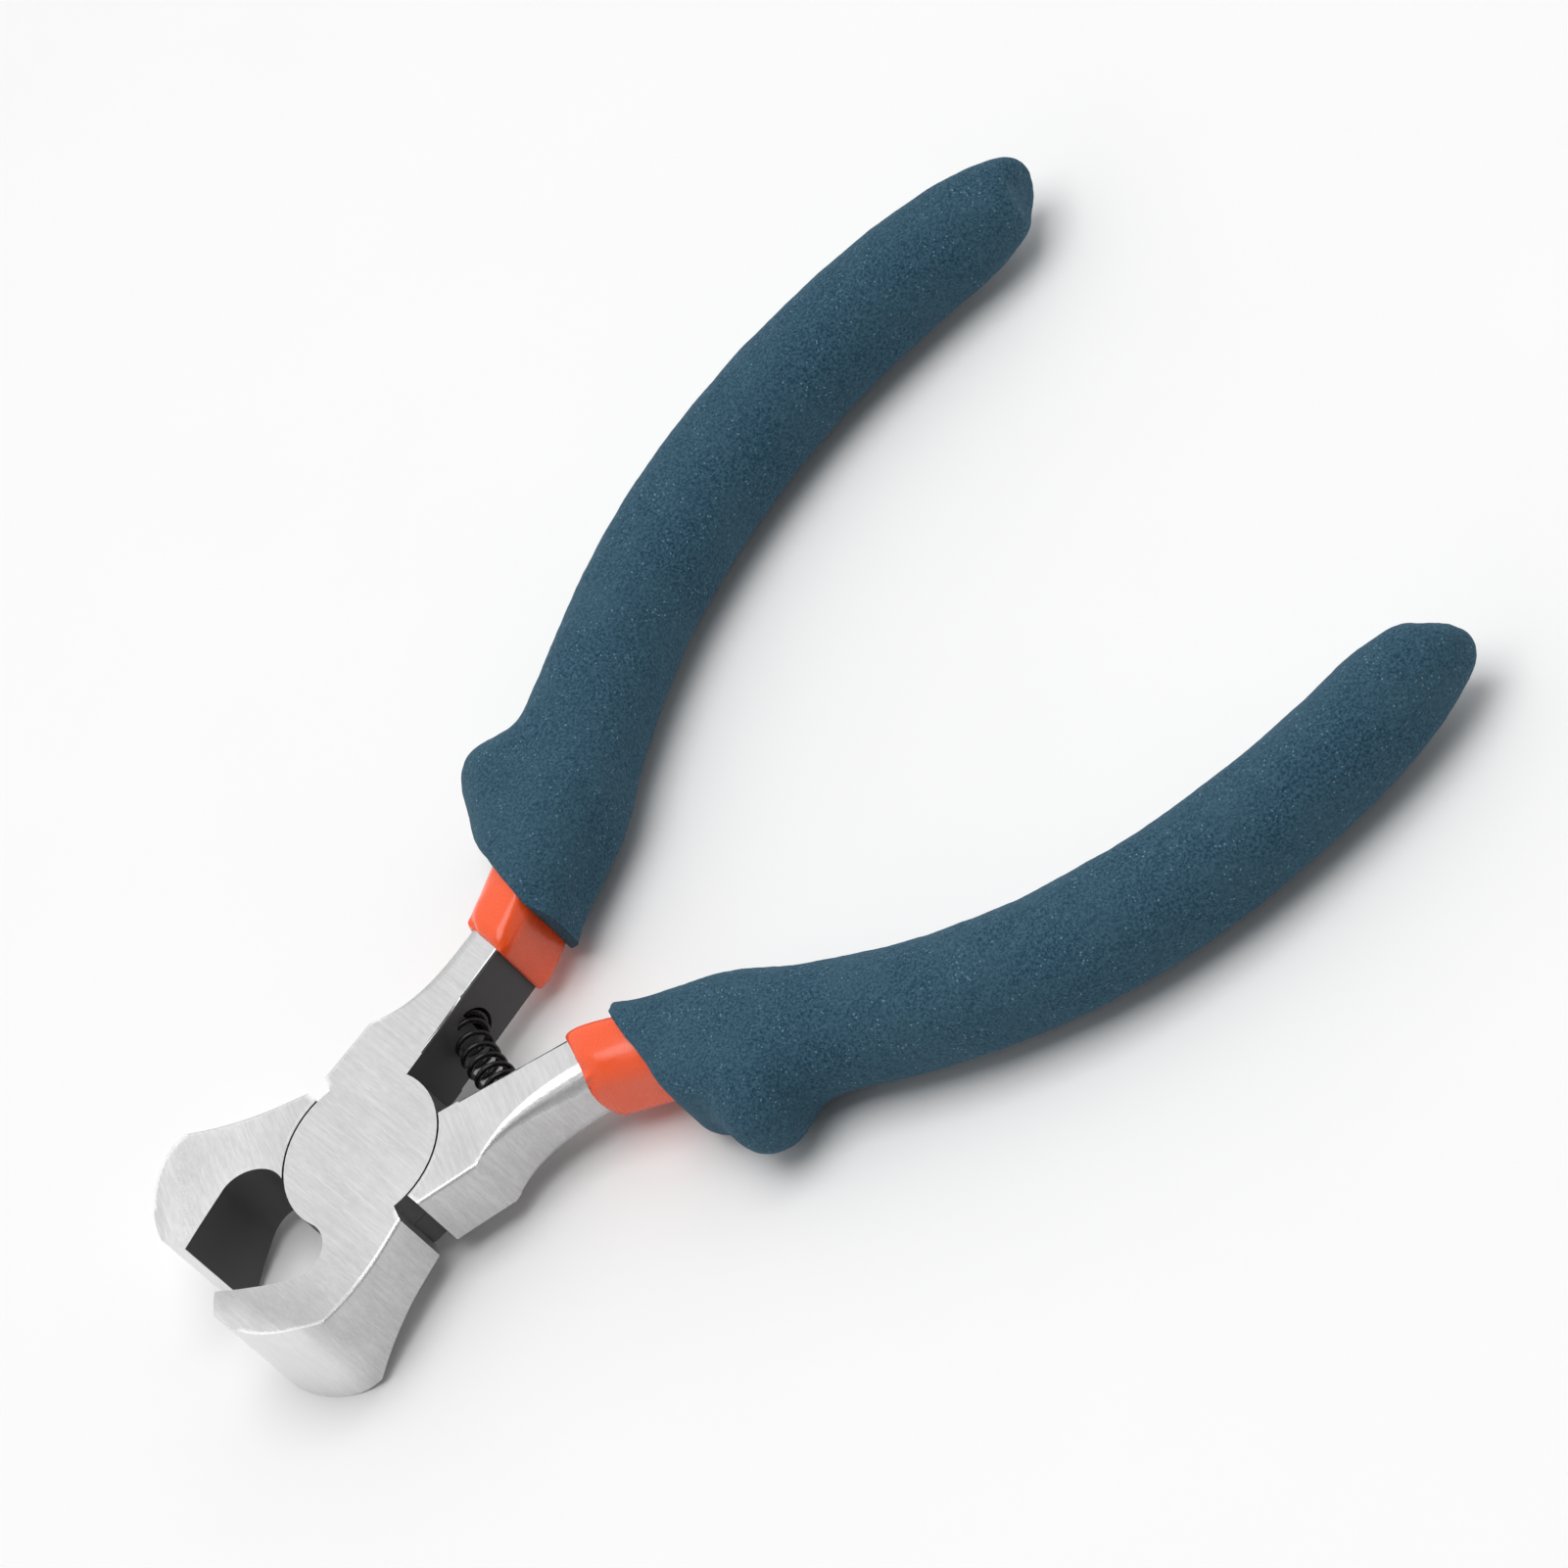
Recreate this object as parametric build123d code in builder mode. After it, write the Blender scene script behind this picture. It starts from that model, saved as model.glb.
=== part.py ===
"""Tile nippers: two crossed levers on a lap joint, a rivet, a return spring, dipped sleeves and foam grips.

Frame: the pivot axis is Z and the jaws point along +X.  Z = 0 is the flat back face of the joint.
Each lever is drawn closed, with its cutting edge on the X axis, and stands half_open away from that.
The two levers are one forging: the back one is the front one turned over about the X direction.
"""
import os
from math import acos, cos, degrees, hypot, radians, sin

from build123d import *

os.makedirs("parts", exist_ok=True)

# ---------------------------------------------------------------- driving dimensions (mm, degrees)
half_open = 10.1            # each lever's turn from closed to the relaxed, open position

joint_thickness = 8.6       # two lap halves, one on the other
lap_gap = 0.06              # running gap between the two lap halves
disc_radius = 9.8           # round lap half of each lever
recess_radius = 10.05       # recess in the other lever, around the disc
rivet_radius = 3.2
rivet_clearance = 0.04

jaw_width = 15.0            # along the cutting edge
jaw_waist_x = 9.3           # the jaw starts to widen here
jaw_hollow_radius = 28.0    # hollow-ground flank of the jaw
jaw_brow_radius = 5.0       # where the flank turns into the full width
flank_skew = 14.0           # the hollow lies this much askew, deeper behind the cutting edge
cutting_edge = (22.0, 0.06)
land_end = (24.0, 2.8)      # outer end of the bevel that ends at the cutting edge
nose_middle = (22.35, 9.9)
jaw_corner = (17.0, 14.9)   # outer face meets nose
jaw_heel = (3.1, 11.6)      # outer face meets the shoulder
jaw_shoulder_angle = 76     # where the shoulder leaves the lap disc
jaw_inside = (19.0, 3.05)
pocket_start = (16.4, 5.35)
pocket_top = (12.3, 6.4)
mouth_angle = 9.5           # where the pocket runs into the lap disc

bolster_angle = 253         # where the bolster's shoulder leaves the lap disc
bolster_heel = (-3.65, -11.5)
bolster_corner = (-11.2, -11.75)
spring_face_start = (-9.56, -2.10)      # flat inner face that the spring bears on
spring_face_slope = 0.109
shank_root_x = -12.4
shank_root_outer_y = -11.0

edge_round = 0.4            # ground edges of the jaw and the bolster
overrun = 6.0               # how far cutting profiles run past the forging

seat_radius = 2.65          # blind hole for the spring
seat_depth = 3.0
seat_distance = 18.1        # from the pivot, along the shank
spring_radius = 1.85        # to the middle of the wire
spring_wire = 0.55          # diameter
spring_turns = 9
spring_inset = 1.2          # how far the spring goes into each seat


station_spacing = 3.0       # of the grip's sections, once its stations are smoothed

# Stations along the handle in the closed drawing: x, y, heading, half width in the lever's plane,
# half height along Z, outer and inner corner radii.  Heading 0 points straight back along -X.
shank_stations = [
    (-12.4, -6.70, 0, 4.29, 4.30, 0.3, 0.3),
    (-16.5, -6.25, 0, 3.40, 4.30, 1.1, 0.35),
    (-20.5, -6.45, 0, 3.15, 4.30, 1.9, 0.4),
    (-27.5, -7.10, 0, 3.05, 4.30, 2.2, 0.5),
]
tang_stations = [
    shank_stations[-1],
    (-34.0, -10.0, 24, 2.9, 4.0, 2.2, 1.4),
    (-42.0, -14.2, 28, 3.0, 3.6, 2.2, 2.0),
    (-50.0, -18.4, 28, 3.2, 3.4, 2.4, 2.4),
    (-62.0, -24.5, 25, 3.2, 3.2, 2.4, 2.4),
    (-78.0, -30.0, 13, 3.2, 3.0, 2.4, 2.4),
    (-96.0, -31.5, 0, 3.1, 2.9, 2.3, 2.3),
    (-114.0, -29.3, -12, 2.9, 2.7, 2.2, 2.2),
]
sleeve_stations = [
    (-26.3, -7.0, 0, 4.15, 5.15, 2.8, 1.6),
    (-33.0, -9.5, 20, 4.0, 5.1, 2.8, 2.4),
    (-42.0, -14.2, 28, 4.0, 4.7, 3.0, 3.0),
    (-52.0, -19.4, 28, 4.2, 4.4, 3.2, 3.2),
    (-66.0, -26.1, 23, 4.2, 4.2, 3.2, 3.2),
    (-82.0, -30.7, 9, 4.2, 4.0, 3.2, 3.2),
    (-100.0, -31.3, -3, 4.1, 3.9, 3.1, 3.1),
    (-116.0, -28.9, -13, 3.9, 3.7, 3.0, 3.0),
]
grip_stations = [
    (-28.8, -6.6, 24, 5.2, 5.9, 4.4, 4.4),
    (-34.1, -9.8, 27, 5.8, 6.4, 5.1, 5.1),
    (-38.7, -13.7, 28, 8.1, 6.9, 6.1, 6.1),
    (-41.0, -16.3, 27, 9.7, 7.0, 6.5, 6.3),
    (-43.5, -18.1, 26, 10.2, 7.0, 6.7, 6.5),
    (-46.6, -18.6, 24, 8.9, 6.9, 6.6, 6.5),
    (-49.8, -19.2, 24, 7.5, 6.8, 6.4, 6.4),
    (-53.5, -20.9, 25, 7.0, 6.8, 6.2, 6.1),
    (-60.8, -24.5, 25, 6.8, 6.7, 6.1, 6.1),
    (-72.3, -28.7, 17, 6.9, 6.6, 6.0, 6.0),
    (-84.3, -31.0, 7, 6.9, 6.6, 6.0, 6.0),
    (-96.4, -31.5, -1, 6.6, 6.6, 5.9, 5.9),
    (-108.5, -30.2, -10, 6.35, 6.5, 5.8, 5.8),
    (-117.4, -28.3, -18, 6.05, 6.3, 5.6, 5.6),
    (-123.2, -26.5, -23, 5.75, 5.9, 5.3, 5.3),
    (-126.6, -25.4, -27, 5.2, 5.2, 4.7, 4.7),
    (-129.0, -24.3, -31, 4.4, 4.3, 4.0, 4.0),
    (-130.1, -23.5, -35, 3.2, 3.0, 2.8, 2.8),
]

grip_rim = (-32.7, -9.1, -10)           # slanted cut at the front end of the grip: x, y, heading

mid_z = joint_thickness / 2
MIDDLE = Plane.XY.offset(mid_z)
LEVER = MIDDLE.rotated((0, 0, half_open))               # the closed drawing, turned open
FLANK = LEVER.rotated((0, 0, flank_skew))
EDGE_ON = Plane(LEVER.origin, x_dir=FLANK.x_dir, z_dir=-FLANK.y_dir)
TURN_OVER = Location((0, 0, joint_thickness), (180, 0, 0))  # front lever's side to back lever's


def on_disc(angle, radius=disc_radius):
    """Point on the rim of the lap disc, in the closed drawing."""
    return (radius * cos(radians(angle)), radius * sin(radians(angle)))


def spring_face_y(x):
    """The inner face of the shank in the closed drawing."""
    start_x, start_y = spring_face_start
    return start_y + (x - start_x) * spring_face_slope


def across(x, y, heading):
    """Plane square to the handle; local X runs outwards in the lever's plane, local Y runs along Z."""
    back = Vector(-cos(radians(heading)), -sin(radians(heading)), 0)
    local = Plane(origin=(x, y, 0), x_dir=Vector(0, 0, 1).cross(back), z_dir=back)
    return Plane(LEVER * local)


def evenly(stations, spacing):
    """Stations at an even spacing along the handle, on a smooth curve through the given ones."""
    runs = [hypot(b[0] - a[0], b[1] - a[1]) for a, b in zip(stations, stations[1:])]
    slopes = [[(q - p) / run for p, q in zip(a, b)] for a, b, run in zip(stations, stations[1:], runs)]
    tangents = [slopes[0]]
    for i in range(1, len(runs)):
        share = runs[i] / (runs[i - 1] + runs[i])
        tangents.append([share * p + (1 - share) * q for p, q in zip(slopes[i - 1], slopes[i])])
    tangents.append(slopes[-1])
    even = []
    for i, run in enumerate(runs):
        count = max(1, round(run / spacing))
        for t in (step / count for step in range(count)):
            ends = zip(stations[i], stations[i + 1], tangents[i], tangents[i + 1])
            even.append([(1 + 2 * t) * (1 - t) ** 2 * a + t ** 2 * (3 - 2 * t) * b
                         + run * t * (1 - t) * ((1 - t) * ta - t * tb) for a, b, ta, tb in ends])
    return even + [list(stations[-1])]


def handle_sections(stations):
    """Rounded sections at a list of handle stations, ready to loft."""
    sections = []
    for x, y, heading, half_width, half_height, outer_radius, inner_radius in stations:
        with BuildSketch(across(x, y, heading)) as section:
            Rectangle(2 * half_width, 2 * half_height)
            fillet(section.vertices().group_by(Axis.X)[-1], outer_radius)
            fillet(section.vertices().group_by(Axis.X)[0], inner_radius)
        sections.append(section.sketch)
    return sections


def on_outer_rim(edge):
    """True for the long edges where the jaw's and the bolster's outer faces meet front and back."""
    spot = LEVER.to_local_coords(edge @ 0.5)
    on_jaw = jaw_heel[0] < spot.X < jaw_corner[0] and spot.Y > jaw_heel[1]
    on_bolster = bolster_corner[0] < spot.X < bolster_heel[0] and spot.Y < bolster_heel[1]
    return (on_jaw or on_bolster) and abs(spot.Z) > mid_z / 2


# ---------------------------------------------------------------- jaw flank, seen on edge
past_nose = (land_end[0] + overrun, jaw_width / 2)
past_shank = (shank_root_x - overrun, mid_z)
flank_turn = degrees(acos(1 - (jaw_width / 2 - mid_z) / (jaw_hollow_radius + jaw_brow_radius)))
flank_end = (jaw_waist_x + jaw_hollow_radius * sin(radians(flank_turn)),
             mid_z + jaw_hollow_radius * (1 - cos(radians(flank_turn))))
flank_middle = (jaw_waist_x + jaw_hollow_radius * sin(radians(flank_turn / 2)),
                mid_z + jaw_hollow_radius * (1 - cos(radians(flank_turn / 2))))
brow_end = (flank_end[0] + jaw_brow_radius * sin(radians(flank_turn)), jaw_width / 2)
brow_middle = (brow_end[0] - jaw_brow_radius * sin(radians(flank_turn / 2)),
               jaw_width / 2 - jaw_brow_radius * (1 - cos(radians(flank_turn / 2))))

# ---------------------------------------------------------------- spring seat on the inner face
seat_drawing = Plane(
    origin=(-seat_distance, spring_face_y(-seat_distance), 0), x_dir=(0, 0, 1),
    z_dir=(-spring_face_slope, 1, 0))
seat_plane = Plane(LEVER * seat_drawing)

# ---------------------------------------------------------------- front lever
with BuildPart() as front_lever:
    with BuildSketch(LEVER):
        with BuildLine():
            Polyline((0, 0), on_disc(jaw_shoulder_angle), jaw_heel, jaw_corner)
            ThreePointArc(jaw_corner, nose_middle, land_end)
            Line(land_end, cutting_edge)
            ThreePointArc(cutting_edge, jaw_inside, pocket_start)
            ThreePointArc(pocket_start, pocket_top, on_disc(mouth_angle))
            Line(on_disc(mouth_angle), (0, 0))
        make_face()
        with BuildLine():
            Polyline((0, 0), on_disc(bolster_angle), bolster_heel, bolster_corner,
                     (shank_root_x, shank_root_outer_y), (shank_root_x, spring_face_y(shank_root_x)),
                     spring_face_start, (0, 0))
        make_face()
        Circle(disc_radius)
    extrude(amount=jaw_width / 2, both=True)
    # hollow flanks: the joint is ground thinner than the jaw is wide
    with BuildSketch(EDGE_ON):
        with BuildLine() as flank:
            Line(past_shank, (jaw_waist_x, mid_z))
            ThreePointArc((jaw_waist_x, mid_z), flank_middle, flank_end)
            ThreePointArc(flank_end, brow_middle, brow_end)
            Line(brow_end, past_nose)
            mirror(about=Plane.XZ)
            Line(past_nose, (past_nose[0], -past_nose[1]))
            Line(past_shank, (past_shank[0], -past_shank[1]))
        make_face()
    extrude(amount=2 * jaw_width, both=True, mode=Mode.INTERSECT)
    fillet(front_lever.edges().filter_by(on_outer_rim), edge_round)
    loft(handle_sections(shank_stations))
    loft(handle_sections(tang_stations))

    # the lap: everything of the back half within the recess goes to the other lever's disc
    with BuildSketch(MIDDLE.offset(lap_gap / 2)):
        Circle(recess_radius)
    extrude(amount=-jaw_width, mode=Mode.SUBTRACT)
    # the rivet is fixed in this lever
    with BuildSketch(MIDDLE):
        Circle(rivet_radius)
    extrude(amount=jaw_width, both=True, mode=Mode.SUBTRACT)
    # blind seat for the spring, square to the inner face
    with BuildSketch(seat_plane):
        Circle(seat_radius)
    extrude(amount=-seat_depth, mode=Mode.SUBTRACT)

front_lever.part.label = "front_lever"
export_step(front_lever.part, "parts/front_lever.step")

# ---------------------------------------------------------------- back lever: the same forging turned over
with BuildPart() as back_lever:
    with Locations(TURN_OVER):
        add(front_lever.part)
    with BuildSketch(MIDDLE):
        Circle(rivet_radius + rivet_clearance)      # this lever turns on the rivet
    extrude(amount=jaw_width, both=True, mode=Mode.SUBTRACT)

back_lever.part.label = "back_lever"
export_step(back_lever.part, "parts/back_lever.step")

# ---------------------------------------------------------------- pivot rivet, ground flush with both faces
with BuildPart() as pivot_rivet:
    with BuildSketch(Plane.XY):
        Circle(rivet_radius)
    extrude(amount=joint_thickness)

pivot_rivet.part.label = "pivot_rivet"
export_step(pivot_rivet.part, "parts/pivot_rivet.step")

# ---------------------------------------------------------------- return spring between the two seats
spring_length = 2 * (spring_inset - seat_plane.origin.Y)
spring_start = (seat_plane.origin.X, -spring_length / 2, mid_z)
with BuildPart() as return_spring:
    with BuildLine() as coil:
        Helix(pitch=spring_length / spring_turns, height=spring_length, radius=spring_radius,
              center=spring_start, direction=(0, 1, 0))
    with BuildSketch(Plane(origin=coil.line @ 0, z_dir=coil.line % 0)):
        Circle(spring_wire / 2)
    sweep(is_frenet=True)

return_spring.part.label = "return_spring"
export_step(return_spring.part, "parts/return_spring.step")

# ---------------------------------------------------------------- dipped sleeves over the tangs
with BuildPart() as front_sleeve:
    loft(handle_sections(sleeve_stations))
    add(front_lever.part, mode=Mode.SUBTRACT)

with BuildPart() as back_sleeve:
    with Locations(TURN_OVER):
        add(front_sleeve.part)

# ---------------------------------------------------------------- foam grips over the sleeves
with BuildPart() as front_grip:
    loft(handle_sections(evenly(grip_stations, station_spacing)))
    split(bisect_by=across(*grip_rim), keep=Keep.TOP)
    add([front_sleeve.part, front_lever.part], mode=Mode.SUBTRACT)

with BuildPart() as back_grip:
    with Locations(TURN_OVER):
        add(front_grip.part)

front_sleeve.part.label = "front_sleeve"
export_step(front_sleeve.part, "parts/front_sleeve.step")
back_sleeve.part.label = "back_sleeve"
export_step(back_sleeve.part, "parts/back_sleeve.step")
front_grip.part.label = "front_grip"
export_step(front_grip.part, "parts/front_grip.step")
back_grip.part.label = "back_grip"
export_step(back_grip.part, "parts/back_grip.step")
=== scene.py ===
"""Tile nippers: the looks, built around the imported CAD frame."""
import math

import bmesh
import bpy
import numpy as np
from mathutils import Matrix, Vector


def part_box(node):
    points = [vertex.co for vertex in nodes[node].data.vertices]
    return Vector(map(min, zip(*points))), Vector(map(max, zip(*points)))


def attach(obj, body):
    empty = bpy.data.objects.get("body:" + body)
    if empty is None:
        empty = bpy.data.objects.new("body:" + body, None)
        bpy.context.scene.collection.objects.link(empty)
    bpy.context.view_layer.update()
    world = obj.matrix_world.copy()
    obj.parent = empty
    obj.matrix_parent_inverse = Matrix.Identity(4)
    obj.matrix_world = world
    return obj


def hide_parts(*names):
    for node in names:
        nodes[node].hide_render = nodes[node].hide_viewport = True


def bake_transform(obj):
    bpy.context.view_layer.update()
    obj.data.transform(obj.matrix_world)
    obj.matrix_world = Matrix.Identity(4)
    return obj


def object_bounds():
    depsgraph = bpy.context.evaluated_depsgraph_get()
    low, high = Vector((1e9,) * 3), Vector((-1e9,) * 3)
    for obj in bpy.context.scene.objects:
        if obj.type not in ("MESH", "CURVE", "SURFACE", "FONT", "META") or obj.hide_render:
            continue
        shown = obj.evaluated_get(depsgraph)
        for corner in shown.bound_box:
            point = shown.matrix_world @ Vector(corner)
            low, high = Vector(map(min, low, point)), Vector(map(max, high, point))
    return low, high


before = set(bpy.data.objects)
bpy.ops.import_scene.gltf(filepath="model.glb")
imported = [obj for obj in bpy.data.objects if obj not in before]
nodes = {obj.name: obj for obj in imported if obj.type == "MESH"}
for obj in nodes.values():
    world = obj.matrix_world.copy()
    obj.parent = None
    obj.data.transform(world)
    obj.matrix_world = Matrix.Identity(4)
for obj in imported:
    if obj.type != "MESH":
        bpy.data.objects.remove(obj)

cad_low, cad_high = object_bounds()
scene = bpy.context.scene

# Both levers are one forging.  Its closed drawing, in mm, has the cutting edge on the X axis, the handle
# towards -X and -Y, and Z measured from the middle of the joint.
MM = 0.001
HALF_OPEN = math.radians(10.1)      # each lever's turn from its closed drawing to the rest pose
MID_Z = 4.3                         # middle of the joint
DISC_RADIUS = 9.8                   # the round lap half


# ---------------------------------------------------------------- shader building
class Shader:
    """A material whose nodes are added one call at a time; inputs are values or other nodes' outputs."""

    def __init__(self, name, **constants):
        self.material = bpy.data.materials.new(name)
        self.material.use_nodes = True
        self.tree = self.material.node_tree
        self.tree.nodes.clear()
        self.bsdf = self.add("BsdfPrincipled", **constants)
        self.add("OutputMaterial", Surface=self.bsdf.outputs["BSDF"])
        self.coord = self.add("TexCoord")

    def put(self, node, name, value):
        """Links an output to the node's input, or sets the input to a value."""
        socket = node.inputs[name]
        if isinstance(value, bpy.types.NodeSocket):
            self.tree.links.new(value, socket)
        else:
            socket.default_value = value

    def add(self, kind, settings=None, **inputs):
        node = self.tree.nodes.new("ShaderNode" + kind)
        for key, value in (settings or {}).items():
            setattr(node, key, value)
        for key, value in inputs.items():
            self.put(node, key.replace("_", " "), value)
        return node

    def math(self, operation, a, b=0.0):
        node = self.add("Math", {"operation": operation})
        self.put(node, 0, a)
        self.put(node, 1, b)
        return node.outputs[0]

    def total(self, *parts):
        """Sum of value and weight pairs."""
        weighted = [self.math("MULTIPLY", value, weight) for value, weight in parts]
        result = weighted[0]
        for part in weighted[1:]:
            result = self.math("ADD", result, part)
        return result

    def vector(self, operation, a, b=(0, 0, 0), output="Vector"):
        node = self.add("VectorMath", {"operation": operation})
        self.put(node, 0, a)
        self.put(node, 1, b)
        return node.outputs[output]

    def step(self, value, low, high, to_low=0.0, to_high=1.0):
        """Smooth ramp of value from low to high."""
        node = self.add("MapRange", {"interpolation_type": "SMOOTHSTEP"}, Value=value)
        for key, number in (("From Min", low), ("From Max", high), ("To Min", to_low), ("To Max", to_high)):
            self.put(node, key, number)
        return node.outputs["Result"]

    def mix(self, share, a, b):
        node = self.add("Mix", {"data_type": "RGBA"})
        self.put(node, 0, share)
        self.put(node, 6, a)
        self.put(node, 7, b)
        return node.outputs[2]

    def scaled(self, vector, scale):
        return self.vector("MULTIPLY", vector, scale)

    def noise(self, vector, scale, detail=3.0, roughness=0.55):
        node = self.add("TexNoise", Vector=vector, Scale=scale, Detail=detail, Roughness=roughness)
        return node.outputs["Fac"]

    def cells(self, vector, scale):
        return self.add("TexVoronoi", Vector=vector, Scale=scale).outputs["Distance"]

    def bump(self, height, distance, strength=0.4):
        """Height is 0 to 1 and distance is in metres."""
        node = self.add("Bump", Height=height, Distance=distance, Strength=strength)
        self.put(self.bsdf, "Normal", node.outputs["Normal"])

    def drawing(self, back):
        """Position in the lever's own closed drawing, and the normal there."""
        turn = (math.pi if back else 0.0, 0.0, -HALF_OPEN)
        place = self.add("Mapping", Vector=self.coord.outputs["Object"], Rotation=turn,
                         Location=(0, 0, MID_Z if back else -MID_Z), Scale=(1 / MM,) * 3)
        facing = self.add("Mapping", {"vector_type": "VECTOR"}, Vector=self.coord.outputs["Normal"],
                          Rotation=turn)
        return place.outputs["Vector"], facing.outputs["Vector"]


def grey(level, blue=0.005):
    """A neutral colour with a trace of blue."""
    return (level, level, level + blue, 1)


def ground_steel(name, back):
    """Brushed across the tool on its flat faces and through the thickness on its sides; painted shade
    darkens the sides, painted light brightens the nose faces and a painted highlight runs along the outer
    edges.
    """
    look = Shader(name, Metallic=1.0)
    place, facing = look.drawing(back)
    place_y = look.add("SeparateXYZ", Vector=place).outputs["Y"]
    facing_parts = look.add("SeparateXYZ", Vector=facing).outputs
    up = look.math("ABSOLUTE", facing_parts["Z"])
    flat = look.step(up, 0.55, 0.8)

    # grinding marks: fine grain, broader bands, soft clouds and a few bright scratches
    across = look.scaled(place, (1.0, 0.06, 1.0))
    through = look.scaled(place, (1.0, 1.0, 0.10))
    grain = look.mix(flat, look.noise(through, 13.0, 2.0), look.noise(across, 13.0, 2.0))
    bands = look.mix(flat, look.noise(through, 2.2), look.noise(across, 2.4))
    clouds = look.noise(place, 0.16, 2.0)
    scratches = look.noise(look.scaled(place, (1.0, 0.035, 1.0)), 3.6, 1.0)
    scratches = look.math("MULTIPLY", look.step(scratches, 0.60, 0.70), flat)
    marks = look.total((grain, 0.42), (bands, 0.34), (clouds, 0.24), (scratches, 0.09))

    # painted highlight: the forging's outer edges, clear of the lap disc, are painted near white with a
    # ragged border
    bevel = look.add("Bevel", {"samples": 8}, Radius=1.2 * MM).outputs["Normal"]
    plain = look.add("NewGeometry").outputs["True Normal"]
    sharp = look.math("SUBTRACT", 1.0, look.vector("DOT_PRODUCT", bevel, plain, "Value"))
    ragged = look.math("POWER", look.noise(look.scaled(place, (1.0, 0.5, 1.0)), 4.0, 4.0, 0.8), 3.0)
    from_pivot = look.vector("LENGTH", place, output="Value")
    outer = look.math("MULTIPLY", look.step(look.math("ABSOLUTE", place_y), 6.6, 7.4),
                      look.step(from_pivot, 10.9, 11.5))
    edge_highlight = look.step(look.math("DIVIDE", sharp, ragged), 0.22, 0.60)
    edge_highlight = look.math("MULTIPLY", look.math("MULTIPLY", edge_highlight, outer), look.step(up, 0.2, 0.45))

    # the rounded edges are hammered and chipped
    chips = look.noise(place, 3.2, 4.0, 0.8)
    rounded = look.math("SUBTRACT", look.step(up, 0.15, 0.3), look.step(up, 0.87, 0.94))
    dull = look.math("MULTIPLY", rounded, look.step(chips, 0.54, 0.44))

    # lit and shaded copies of one steel: the sides get a darker base colour as painted shade, and the faces
    # pointing to the jaw tips a lighter one as painted light
    tone = look.step(marks, 0.30, 0.72)
    face = look.mix(tone, grey(0.57), grey(0.73))
    side = look.mix(tone, grey(0.48), grey(0.68))
    lit_nose_tone = look.mix(tone, grey(0.74), grey(0.84))
    side = look.mix(look.step(facing_parts["X"], 0.45, 0.7), side, lit_nose_tone)
    # painted highlight: near white base colour along the outer edges
    steel = look.mix(edge_highlight, look.mix(flat, side, face), grey(1.0, blue=0.0))
    steel = look.mix(look.math("MULTIPLY", dull, 0.5), steel, grey(0.50))
    look.put(look.bsdf, "Base Color", steel)
    rough = look.math("ADD", 0.26, look.total((grain, 0.22), (dull, 0.15)))
    look.put(look.bsdf, "Roughness", look.math("SUBTRACT", rough, look.math("MULTIPLY", edge_highlight, 0.12)))
    relief = look.math("ADD", look.math("MULTIPLY", grain, 0.05), look.math("MULTIPLY", chips, rounded))
    look.bump(relief, 0.24 * MM)
    return look.material


def charcoal(name, back):
    """Black faces between the jaws, inside the handles and inside the joint: partly a blackened finish,
    partly painted shade in the recesses and gaps.
    """
    look = Shader(name, Metallic=0.25)
    place, _ = look.drawing(back)
    mottle = look.noise(place, 2.6, 5.0, 0.7)
    look.put(look.bsdf, "Base Color", look.mix(mottle, grey(0.056, blue=0.003), grey(0.094)))
    look.put(look.bsdf, "Roughness", look.step(mottle, 0.2, 0.8, 0.5, 0.68))
    look.bump(mottle, 0.03 * MM)
    return look.material


def dipped_vinyl(name, back):
    """Glossy orange skin that has run a little while it set."""
    look = Shader(name, Specular_IOR_Level=0.45, Coat_Weight=0.25, Coat_Roughness=0.16)
    place, _ = look.drawing(back)
    flow = look.noise(place, 0.35, 3.0)
    specks = look.noise(place, 6.0, 2.0)
    deep, pale = (0.86, 0.082, 0.014, 1), (0.98, 0.112, 0.022, 1)
    look.put(look.bsdf, "Base Color", look.mix(flow, deep, pale))
    look.put(look.bsdf, "Roughness", look.step(specks, 0.3, 0.8, 0.22, 0.32))
    look.bump(look.math("ADD", flow, look.math("MULTIPLY", specks, 0.02)), 0.1 * MM)
    return look.material


def spring_wire(name):
    """Drawn wire under a film of black oil."""
    look = Shader(name, Metallic=0.6)
    film = look.noise(look.scaled(look.coord.outputs["Object"], (1 / MM,) * 3), 3.0, 3.0)
    look.put(look.bsdf, "Base Color", look.mix(film, grey(0.008, blue=0.001), grey(0.03, blue=0.003)))
    look.put(look.bsdf, "Roughness", look.step(film, 0.25, 0.8, 0.2, 0.38))
    look.bump(film, 0.01 * MM)
    return look.material


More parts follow.
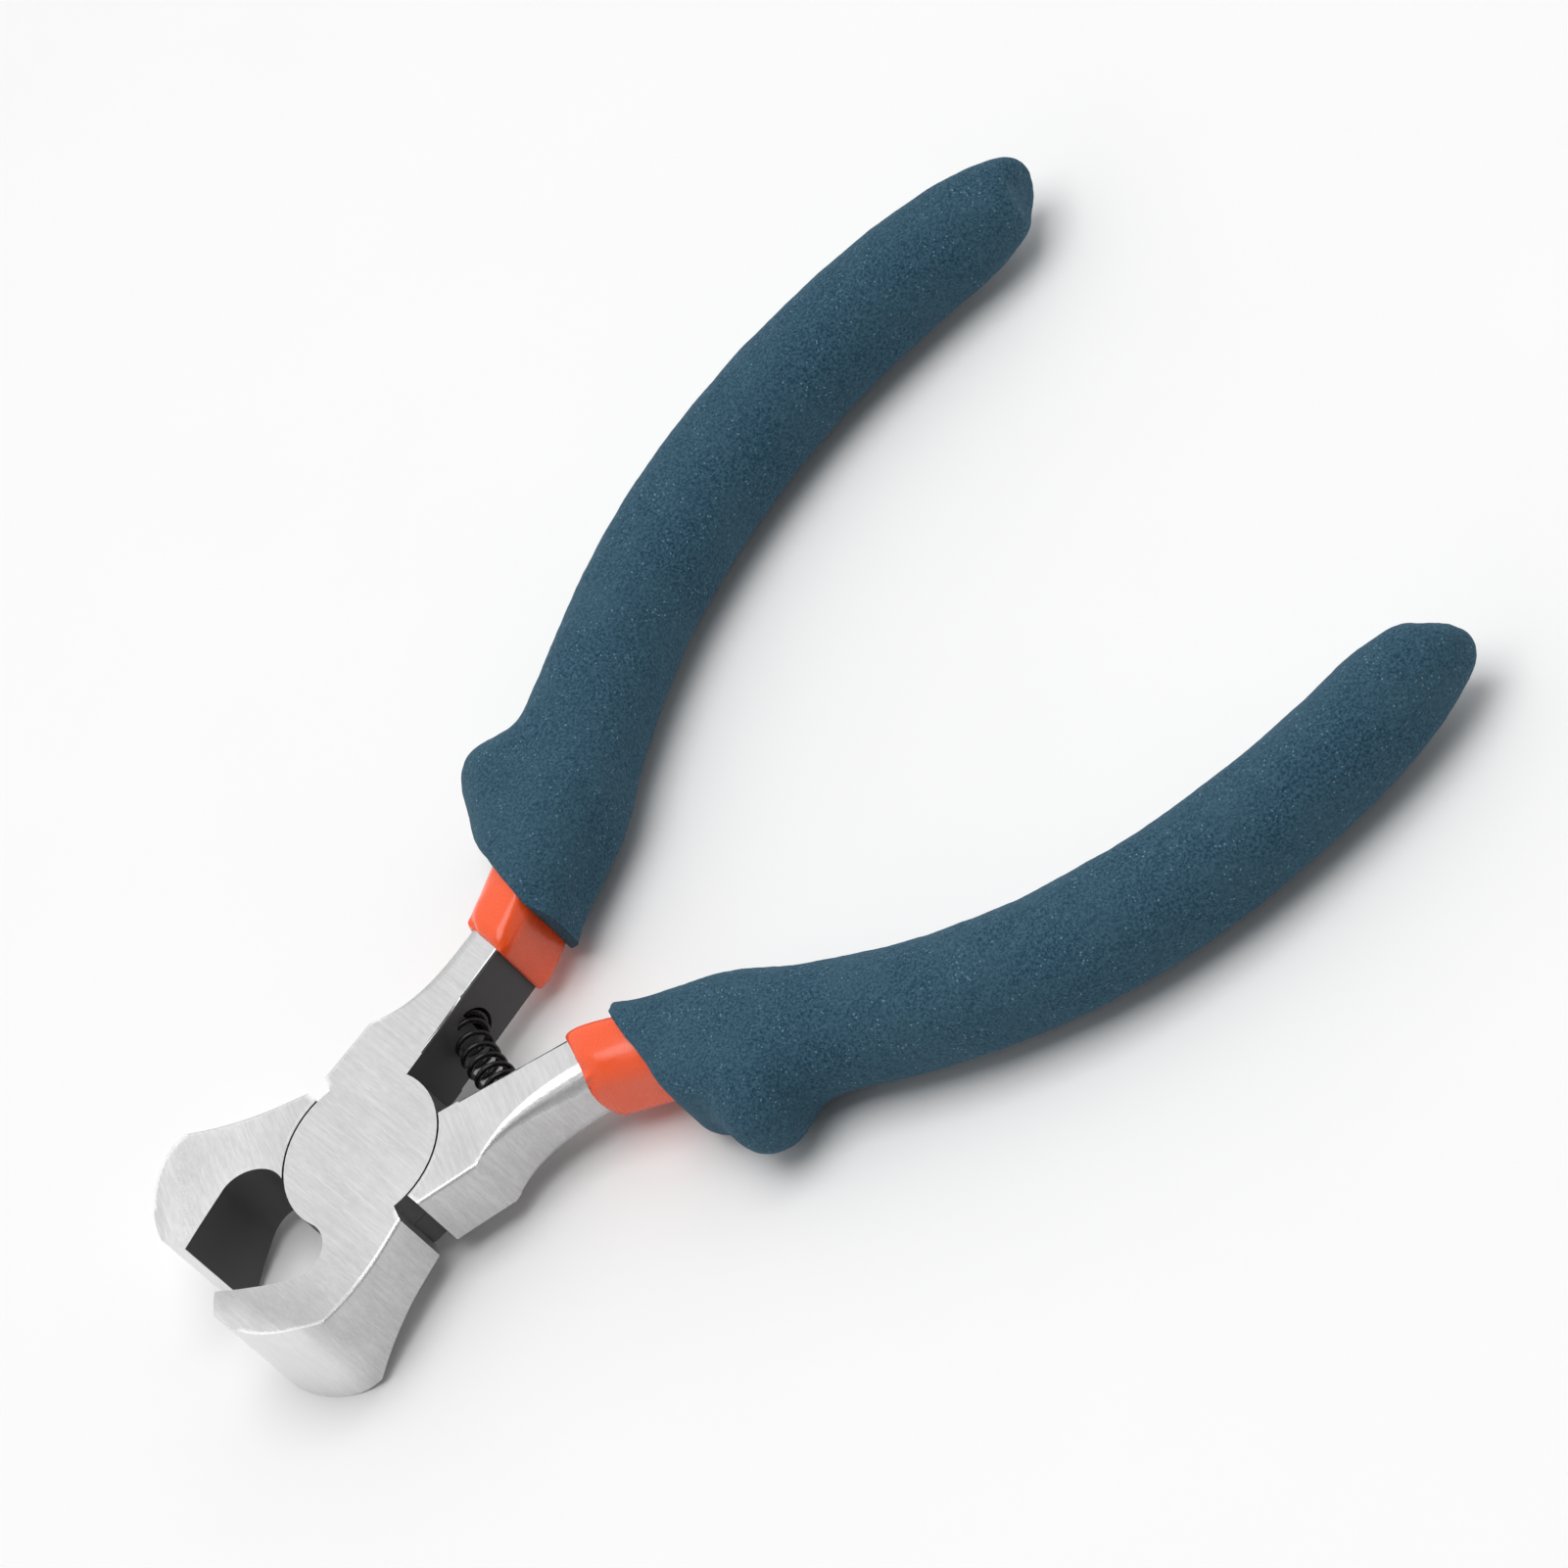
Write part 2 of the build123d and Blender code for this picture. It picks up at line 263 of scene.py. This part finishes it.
def foam(name, back):
    """Closed-cell foam: matte, finely pitted, with pale flecks where cells are open."""
    look = Shader(name, Sheen_Weight=0.10, Sheen_Roughness=0.45, Sheen_Tint=(0.45, 0.75, 0.95, 1),
                  Specular_IOR_Level=0.2)
    place, _ = look.drawing(back)
    coarse = look.noise(place, 0.12, 3.0)
    fine = look.noise(place, 3.0, 4.0, 0.8)
    pits = look.cells(place, 2.8)
    elsewhere = look.vector("ADD", place, (7.3, 1.9, 4.1))
    flecks = look.step(look.cells(elsewhere, 1.7), 0.24, 0.10)
    flecks = look.math("MULTIPLY", flecks, look.step(look.noise(place, 0.5, 2.0), 0.46, 0.60))
    deep, mean, pale = (0.006, 0.038, 0.068, 1), (0.054, 0.126, 0.182, 1), (0.21, 0.35, 0.43, 1)
    faded = (0.056, 0.120, 0.160, 1)
    base = look.mix(look.step(fine, 0.36, 0.64), deep, mean)
    base = look.mix(look.step(coarse, 0.35, 0.7, 0.0, 0.3), base, faded)
    look.put(look.bsdf, "Base Color", look.mix(look.math("MULTIPLY", flecks, 0.7), base, pale))
    look.put(look.bsdf, "Roughness", look.step(fine, 0.3, 0.7, 0.78, 0.95))
    look.bump(look.total((fine, 0.7), (pits, 0.5)), 0.22 * MM, strength=0.8)
    return look.material


# ---------------------------------------------------------------- steel parts
BEHIND_JOINT_X = -9.0
SEAT_X, SEAT_RIM, SEAT_LOW_Y, SEAT_HALF_Z = -18.1, 2.72, -7.5, 2.8      # the spring's blind hole
POCKET_X, POCKET_TOP_Y = (6.0, 21.97), 7.6                              # behind the cutting edge
NEAR_RIM, NEAR_FLOOR = 0.35, 0.3        # from a face's middle to the disc's rim or the lap floor


def closed_drawing(back):
    """Matrix from the row frame, in metres, to the lever's closed drawing."""
    shift = Matrix.Translation((0, 0, -MID_Z * MM))
    turn = Matrix.Rotation(-HALF_OPEN, 4, "Z")
    over = Matrix.Rotation(math.pi, 4, "X") if back else Matrix.Identity(4)
    return Matrix.Scale(1 / MM, 4) @ turn @ over @ shift


def black_finish_and_shade(spot, normal):
    """True for the faces that get the black material, in the closed drawing: the handles' inner faces and
    the pocket between the jaws, partly black finish and partly painted shade, and as painted shade only the
    spring's hole and the lap joint's rim and floor.
    """
    upright = abs(normal.z) < 0.6
    behind_joint = spot.x < BEHIND_JOINT_X
    inner_face = behind_joint and normal.y > 0.25
    in_seat = math.hypot(spot.x - SEAT_X, spot.z) < SEAT_RIM and abs(spot.z) < SEAT_HALF_Z
    seat = behind_joint and in_seat and spot.y > SEAT_LOW_Y
    pocket = upright and POCKET_X[0] < spot.x < POCKET_X[1] and spot.y < POCKET_TOP_Y
    radius = math.hypot(spot.x, spot.y)
    outward = abs(spot.x * normal.x + spot.y * normal.y) > 0.9 * radius
    lap_rim = upright and abs(radius - DISC_RADIUS) < NEAR_RIM and outward
    lap_floor = abs(normal.z) > 0.9 and abs(spot.z) < NEAR_FLOOR
    return inner_face or seat or pocket or lap_rim or lap_floor


for node, back in (("front_lever", False), ("back_lever", True)):
    lever = nodes[node]
    lever.data.materials.clear()
    lever.data.materials.append(ground_steel(node + "_steel", back))
    lever.data.materials.append(charcoal(node + "_black", back))
    to_drawing = closed_drawing(back)
    # the spring's hole and the lap joint's rim and floor get the black material as painted shade
    for face in lever.data.polygons:
        normal = (to_drawing.to_3x3() @ face.normal).normalized()
        face.material_index = int(black_finish_and_shade(to_drawing @ face.center, normal))

rivet = nodes["pivot_rivet"]
rivet.data.materials.clear()
rivet.data.materials.append(ground_steel("rivet_steel", False))


# ---------------------------------------------------------------- soft parts
# places and directions in the closed drawing; forward and backwards run along the handle
GRIP_FORWARD, GRIP_INWARD = np.array((0.906, 0.423)), np.array((-0.423, 0.906))
RIM_MIDDLE, RIM_BACKWARDS = np.array((-32.7, -9.1)), np.array((-0.9848, 0.1736))   # the slanted front cut
GUARD_TIP, GUARD_REACH = np.array((-39.0, -27.3)), 6.5
LEDGE_MIDDLE, LEDGE_INWARDS, LEDGE_REACH = np.array((-35.6, -22.1)), (-0.76, 0.65), 2.2
BUTT_MIDDLE = np.array((-126.6, -25.4))
BUTT_BACKWARDS, BUTT_OUTWARD = np.array((-0.857, 0.515)), np.array((-0.515, -0.857))
SLEEVE_FRONT, SLEEVE_MIDDLE = -26.3, np.array((-7.0, 0.0))
SLEEVE_HALF_Y, SLEEVE_HALF_Z, LIP_RADIUS = 4.15, 5.15, 2.2
# the two grips and sleeves were not trimmed quite alike
GRIP_LEDGE = {"front": 0.2, "back": 0.9}        # between the rim and the guard
GUARD_SLIDE = {"front": 1.9, "back": 2.9}       # backwards
SLEEVE_BULGE = {"front": 0.25, "back": 0.7}     # forward, along the middle of the outer side


def settled(obj):
    """Applies the object's modifiers to its mesh."""
    bpy.context.view_layer.update()
    graph = bpy.context.evaluated_depsgraph_get()
    mesh = bpy.data.meshes.new_from_object(obj.evaluated_get(graph))
    obj.modifiers.clear()
    obj.data = mesh


def add_smoothing(obj, rounds):
    smooth = obj.modifiers.new("round", "SMOOTH")
    smooth.iterations = rounds
    smooth.factor = 0.5


def soft_copy(node, name, voxel, rounds):
    """A closed, even mesh of a CAD node's shape, with its edges rounded off."""
    obj = bpy.data.objects.new(name, nodes[node].data.copy())
    scene.collection.objects.link(obj)
    welded = bmesh.new()
    welded.from_mesh(obj.data)
    bmesh.ops.remove_doubles(welded, verts=welded.verts, dist=0.002 * MM)
    welded.to_mesh(obj.data)
    welded.free()
    remesh = obj.modifiers.new("even", "REMESH")
    remesh.mode = "VOXEL"
    remesh.voxel_size = voxel
    add_smoothing(obj, rounds)
    settled(obj)
    return obj


def smoothed(obj, rounds):
    add_smoothing(obj, rounds)
    settled(obj)


def roughened(obj, sizes):
    """Moves the surface in and out by smooth noise: size and depth pairs, in metres."""
    for i, (size, depth) in enumerate(sizes):
        texture = bpy.data.textures.new(f"{obj.name}_{i}", "CLOUDS")
        texture.noise_scale = size
        texture.noise_depth = 2
        displace = obj.modifiers.new(f"noise{i}", "DISPLACE")
        displace.texture = texture
        displace.texture_coords = "LOCAL"
        displace.strength = depth
        displace.mid_level = 0.5
    settled(obj)


def reshaped(obj, back, move):
    """Moves the mesh by a function of its points in the closed drawing."""
    to_drawing = np.array(closed_drawing(back))
    points = np.array([v.co for v in obj.data.vertices], float)
    drawn = move(points @ to_drawing[:3, :3].T + to_drawing[:3, 3])
    back_again = np.linalg.inv(to_drawing)
    points = drawn @ back_again[:3, :3].T + back_again[:3, 3]
    obj.data.vertices.foreach_set("co", points.astype(np.float32).ravel())
    obj.data.update()


def share(value, low, high):
    """0 below low, 1 above high."""
    return np.clip((value - low) / (high - low), 0, 1)


def near(points, middle, reach):
    """1 at a point of the drawing, fading out over its reach."""
    distance = np.linalg.norm(points[:, :2] - middle, axis=1)
    return np.exp(-(distance / reach) ** 2)


def grip_front(points, ledge, slide):
    """Blunts the grip's slanted front rim, with a ledge outside it, and slides the guard back."""
    offset = points[:, :2] - RIM_MIDDLE
    along, reach = offset @ GRIP_FORWARD, offset @ GRIP_INWARD
    behind_rim = offset @ RIM_BACKWARDS
    inner_skin, outer_skin = share(reach, 4.3, 5.4), share(-reach, 4.3, 5.4)
    flare = 0.75 * share(-behind_rim, -11.0, 0.0) ** 2
    rim_bead = ledge * np.exp(-((behind_rim - 0.9) / 1.7) ** 2)
    dent = 1.25 * ledge * near(points, LEDGE_MIDDLE, LEDGE_REACH)
    guard = near(points, GUARD_TIP, GUARD_REACH)
    moved = points.copy()
    moved[:, :2] += np.outer(dent, LEDGE_INWARDS) - np.outer(guard, slide * GRIP_FORWARD + 0.5 * GRIP_INWARD)
    moved[:, :2] += np.outer(flare * inner_skin - rim_bead * outer_skin, GRIP_INWARD)
    blunt_from = along.max() - 1.3
    moved[:, :2] -= np.outer(np.maximum(0, along - blunt_from) * 0.85, GRIP_FORWARD)
    return moved


def grip_butt(points):
    """Draws the outer side of the butt out past the inner side, round a shallow dish."""
    offset = points[:, :2] - BUTT_MIDDLE
    along, reach = offset @ BUTT_BACKWARDS, offset @ BUTT_OUTWARD
    draw = 1.5 * share(reach, -2.5, 4.2) ** 1.5 * share(along, -5.0, 2.0)
    dish = 0.6 * np.exp(-((reach + 0.3) / 2.6) ** 2) * share(along, -0.5, 3.2)
    moved = points.copy()
    moved[:, :2] += np.outer(draw - dish, BUTT_BACKWARDS)
    return moved


def sleeve_lip(points, bulging):
    """Crowns the sleeve's flat sides and rounds its open end over, with an uneven edge."""
    behind = SLEEVE_FRONT - points[:, 0]
    spoke = points[:, 1:] - SLEEVE_MIDDLE
    outward, height = -spoke[:, 0], np.abs(spoke[:, 1])
    skin = share(np.maximum(np.abs(outward) / SLEEVE_HALF_Y, height / SLEEVE_HALF_Z), 0.84, 0.93)
    crown = np.clip(1 - (outward / SLEEVE_HALF_Y) ** 2, 0, 1)
    bulge = np.clip(1 - (height / SLEEVE_HALF_Z) ** 2, 0, 1)
    near_end = share(-behind, -7.0, 0.0)

    inside = np.clip(LIP_RADIUS - behind, 0, LIP_RADIUS)
    drop = (LIP_RADIUS - np.sqrt(LIP_RADIUS ** 2 - inside ** 2)) / LIP_RADIUS
    corner = share(height, 2.0, 5.0) * share(outward, 1.0, 4.0)
    inwards = (0.75 + 0.9 * corner) * drop * skin
    moved = points.copy()
    moved[:, 1:] -= spoke / np.linalg.norm(spoke, axis=1)[:, None] * inwards[:, None]
    moved[:, 2] += 0.4 * crown * skin * np.sign(spoke[:, 1]) * (1 - drop)
    moved[:, 0] += near_end * share(outward, 0.5, 3.5) * (bulging * bulge - 0.6 * (1 - bulge))
    moved[:, 0] -= near_end * 0.15 * crown * share(height, 3.0, 5.0)
    return moved


def dress(obj, material, body, node):
    """Gives a finished piece its material, and its place in the frame instead of a CAD node."""
    obj.data.materials.clear()
    obj.data.materials.append(material)
    for face in obj.data.polygons:
        face.use_smooth = True
        face.material_index = 0
    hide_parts(node)
    if body:
        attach(obj, body)


for side, back in (("front", False), ("back", True)):
    grip = soft_copy(f"{side}_grip", f"{side}_foam_grip", 0.4 * MM, 5)
    reshaped(grip, back, lambda points: grip_front(points, GRIP_LEDGE[side], GUARD_SLIDE[side]))
    reshaped(grip, back, grip_butt)
    smoothed(grip, 8)
    roughened(grip, ((7 * MM, 0.30 * MM), (1.1 * MM, 0.10 * MM)))
    dress(grip, foam(f"{side}_foam", back), f"{side}_arm", f"{side}_grip")
    sleeve = soft_copy(f"{side}_sleeve", f"{side}_dipped_sleeve", 0.22 * MM, 4)
    reshaped(sleeve, back, lambda points: sleeve_lip(points, SLEEVE_BULGE[side]))
    smoothed(sleeve, 6)
    dress(sleeve, dipped_vinyl(f"{side}_vinyl", back), f"{side}_arm", f"{side}_sleeve")


# ---------------------------------------------------------------- return spring
WIRE = 0.70 * MM
COIL_RADIUS = 1.95 * MM
COIL_TURNS = 9
DEAD_TURNS = 1.0                    # closed turns at each end
DEAD_PITCH = WIRE * 1.1
BOW = 1.25 * MM                     # towards the pivot, in the middle
TURN_STEPS = 40

coil_low, coil_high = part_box("return_spring")
coil_middle = (coil_low + coil_high) / 2
coil_length = coil_high.y - coil_low.y - WIRE
live_turns = COIL_TURNS - 2 * DEAD_TURNS
live_pitch = (coil_length - 2 * DEAD_TURNS * DEAD_PITCH) / live_turns


def coil_point(turn):
    rise = min(turn, DEAD_TURNS) * DEAD_PITCH
    rise += max(0.0, min(turn - DEAD_TURNS, live_turns)) * live_pitch
    rise += max(0.0, turn - DEAD_TURNS - live_turns) * DEAD_PITCH
    level = rise / coil_length * 2 - 1
    angle = 2 * math.pi * turn
    return (coil_middle.x + BOW * (1 - level ** 2) + COIL_RADIUS * math.cos(angle),
            coil_low.y + WIRE / 2 + rise,
            coil_middle.z + COIL_RADIUS * math.sin(angle))


def tube(name, path, radius, sides=14):
    """A closed tube round a path of points, its section turning with the path."""
    path = np.array(path)
    along = np.gradient(path, axis=0)
    along /= np.linalg.norm(along, axis=1)[:, None]
    first = np.cross(along, (0.0, 1.0, 0.0))
    first /= np.linalg.norm(first, axis=1)[:, None]
    second = np.cross(along, first)
    angles = np.arange(sides)[None, :, None] * 2 * math.pi / sides
    ring = np.cos(angles) * first[:, None] + np.sin(angles) * second[:, None]
    points = (path[:, None] + radius * ring).reshape(-1, 3)
    faces = []
    for i in range(len(path) - 1):
        for j in range(sides):
            k = (j + 1) % sides
            faces.append((i * sides + j, i * sides + k, (i + 1) * sides + k, (i + 1) * sides + j))
    faces.append(tuple(range(sides))[::-1])
    last = (len(path) - 1) * sides
    faces.append(tuple(range(last, last + sides)))
    mesh = bpy.data.meshes.new(name)
    mesh.from_pydata([tuple(point) for point in points], [], faces)
    obj = bpy.data.objects.new(name, mesh)
    scene.collection.objects.link(obj)
    return obj


coil = [coil_point(i / TURN_STEPS) for i in range(COIL_TURNS * TURN_STEPS + 1)]
spring = tube("coil_spring", coil, WIRE / 2)
dress(spring, spring_wire("black_wire"), None, "return_spring")
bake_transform(spring)


# ---------------------------------------------------------------- floor, light and camera
FLOOR_REACH = 3.0
FLOOR_GAP = 0.02 * MM
CAMERA_AT = Vector((-0.10210, 0.66776, 0.69512))
CAMERA_RIGHT = Vector((-0.74157882, 0.45894361, -0.48931751))
CAMERA_UP = Vector((-0.66950012, -0.5528017, 0.49616516))
CAMERA_BACK = Vector((-0.04278372, 0.6955437, 0.71720884))
ROOM_LIGHT, DARK_SIDE_LIGHT = 0.78, 0.1     # the room is dark on the side that the camera stands on

corners = [(-1, -1), (1, -1), (1, 1), (-1, 1)]
floor_points = [(x * FLOOR_REACH, y * FLOOR_REACH, cad_low.z - FLOOR_GAP) for x, y in corners]
floor_mesh = bpy.data.meshes.new("floor")
floor_mesh.from_pydata(floor_points, [], [(0, 1, 2, 3)])
floor = bpy.data.objects.new("floor", floor_mesh)
scene.collection.objects.link(floor)
paper = Shader("paper", Specular_IOR_Level=0.15, Roughness=0.8)
fibre = paper.noise(paper.coord.outputs["Object"], 40.0)
paper.put(paper.bsdf, "Base Color", paper.mix(fibre, grey(0.90, blue=0.0), grey(0.92, blue=0.0)))
floor_mesh.materials.append(paper.material)

world = bpy.data.worlds.new("studio")
world.use_nodes = True
scene.world = world
tree = world.node_tree
tree.nodes.clear()
sky_out = tree.nodes.new("ShaderNodeOutputWorld")
sky = tree.nodes.new("ShaderNodeBackground")
sky.inputs["Color"].default_value = (1, 1, 1, 1)
tree.links.new(sky.outputs[0], sky_out.inputs[0])
direction = tree.nodes.new("ShaderNodeTexCoord")
toward = tree.nodes.new("ShaderNodeVectorMath")
toward.operation = "DOT_PRODUCT"
toward.inputs[1].default_value = CAMERA_BACK
tree.links.new(direction.outputs["Generated"], toward.inputs[0])
dim = tree.nodes.new("ShaderNodeMapRange")
dim.interpolation_type = "SMOOTHSTEP"
dim_range = {"From Min": 0.5, "From Max": 0.9, "To Min": ROOM_LIGHT, "To Max": DARK_SIDE_LIGHT}
for key, number in dim_range.items():
    dim.inputs[key].default_value = number
tree.links.new(toward.outputs["Value"], dim.inputs["Value"])
tree.links.new(dim.outputs["Result"], sky.inputs["Strength"])


def softbox(name, place, size, power):
    """A square soft light that faces the tool."""
    lamp = bpy.data.lights.new(name, "AREA")
    lamp.shape = "SQUARE"
    lamp.size = size
    lamp.energy = power
    obj = bpy.data.objects.new(name, lamp)
    obj.location = place
    obj.rotation_mode = "QUATERNION"
    obj.rotation_quaternion = Vector(place).to_track_quat("Z", "Y")
    scene.collection.objects.link(obj)


softbox("overhead", (-0.05, 0.02, 1.0), 0.8, 6.4)
softbox("beyond", (0.1, -0.95, 0.75), 0.8, 0.25)

lens = bpy.data.cameras.new("view")
lens.sensor_width = 36.0
lens.lens = 202.37
lens.clip_start, lens.clip_end = 0.05, 20.0
camera = bpy.data.objects.new("view", lens)
axes = Matrix((CAMERA_RIGHT, CAMERA_UP, CAMERA_BACK)).transposed()
camera.matrix_world = Matrix.Translation(CAMERA_AT) @ axes.to_4x4()
scene.collection.objects.link(camera)
scene.camera = camera
scene.view_settings.view_transform = "Standard"
